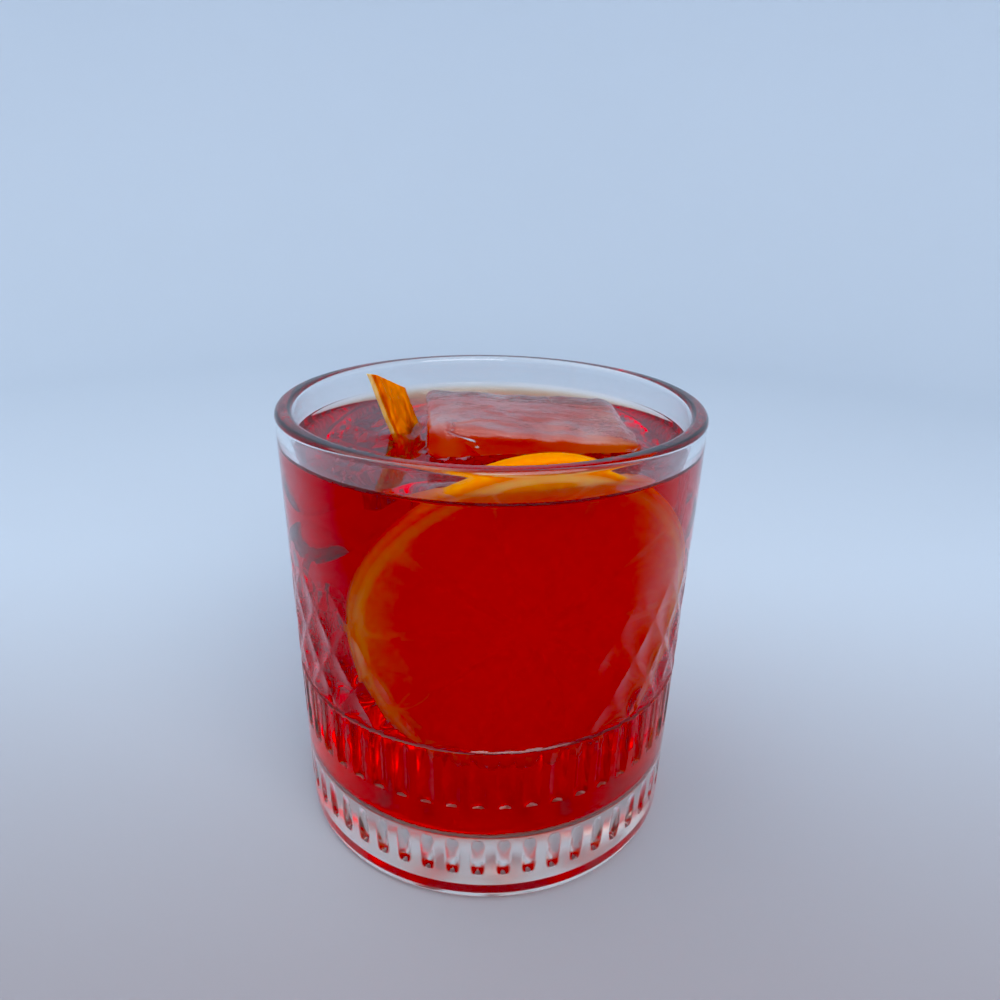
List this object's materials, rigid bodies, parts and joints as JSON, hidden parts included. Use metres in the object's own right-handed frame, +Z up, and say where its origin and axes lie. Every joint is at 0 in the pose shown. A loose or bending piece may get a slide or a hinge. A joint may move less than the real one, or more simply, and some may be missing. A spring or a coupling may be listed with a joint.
{
  "type": "boulevardier",
  "caption": "Red mixed drink in a diamond-cut glass tumbler, with a block of clear ice, an orange wheel and a strip of orange peel.",
  "frame": {"origin": "middle of the glass's foot, on the surface it stands on", "axes": "+Z up along the glass's axis; the orange wheel stands behind the wall at -Y, and the strip of peel at -X"},
  "size_m": [0.083, 0.083, 0.0934],
  "materials": {
    "clear_glass": "polished, with pressed diamonds and flutes",
    "red_drink": "clear red liquid",
    "ice": "wet clear ice with fine cracks",
    "orange_flesh": "wet citrus flesh, pith and rind",
    "orange_peel": "wet cut peel with a pale pith edge"
  },
  "bodies": {
    "root": {"glass": "clear_glass", "drink": "red_drink", "ice_block": "ice", "orange_wheel": "orange_flesh", "orange_peel": "orange_peel"}
  },
  "joints": []
}
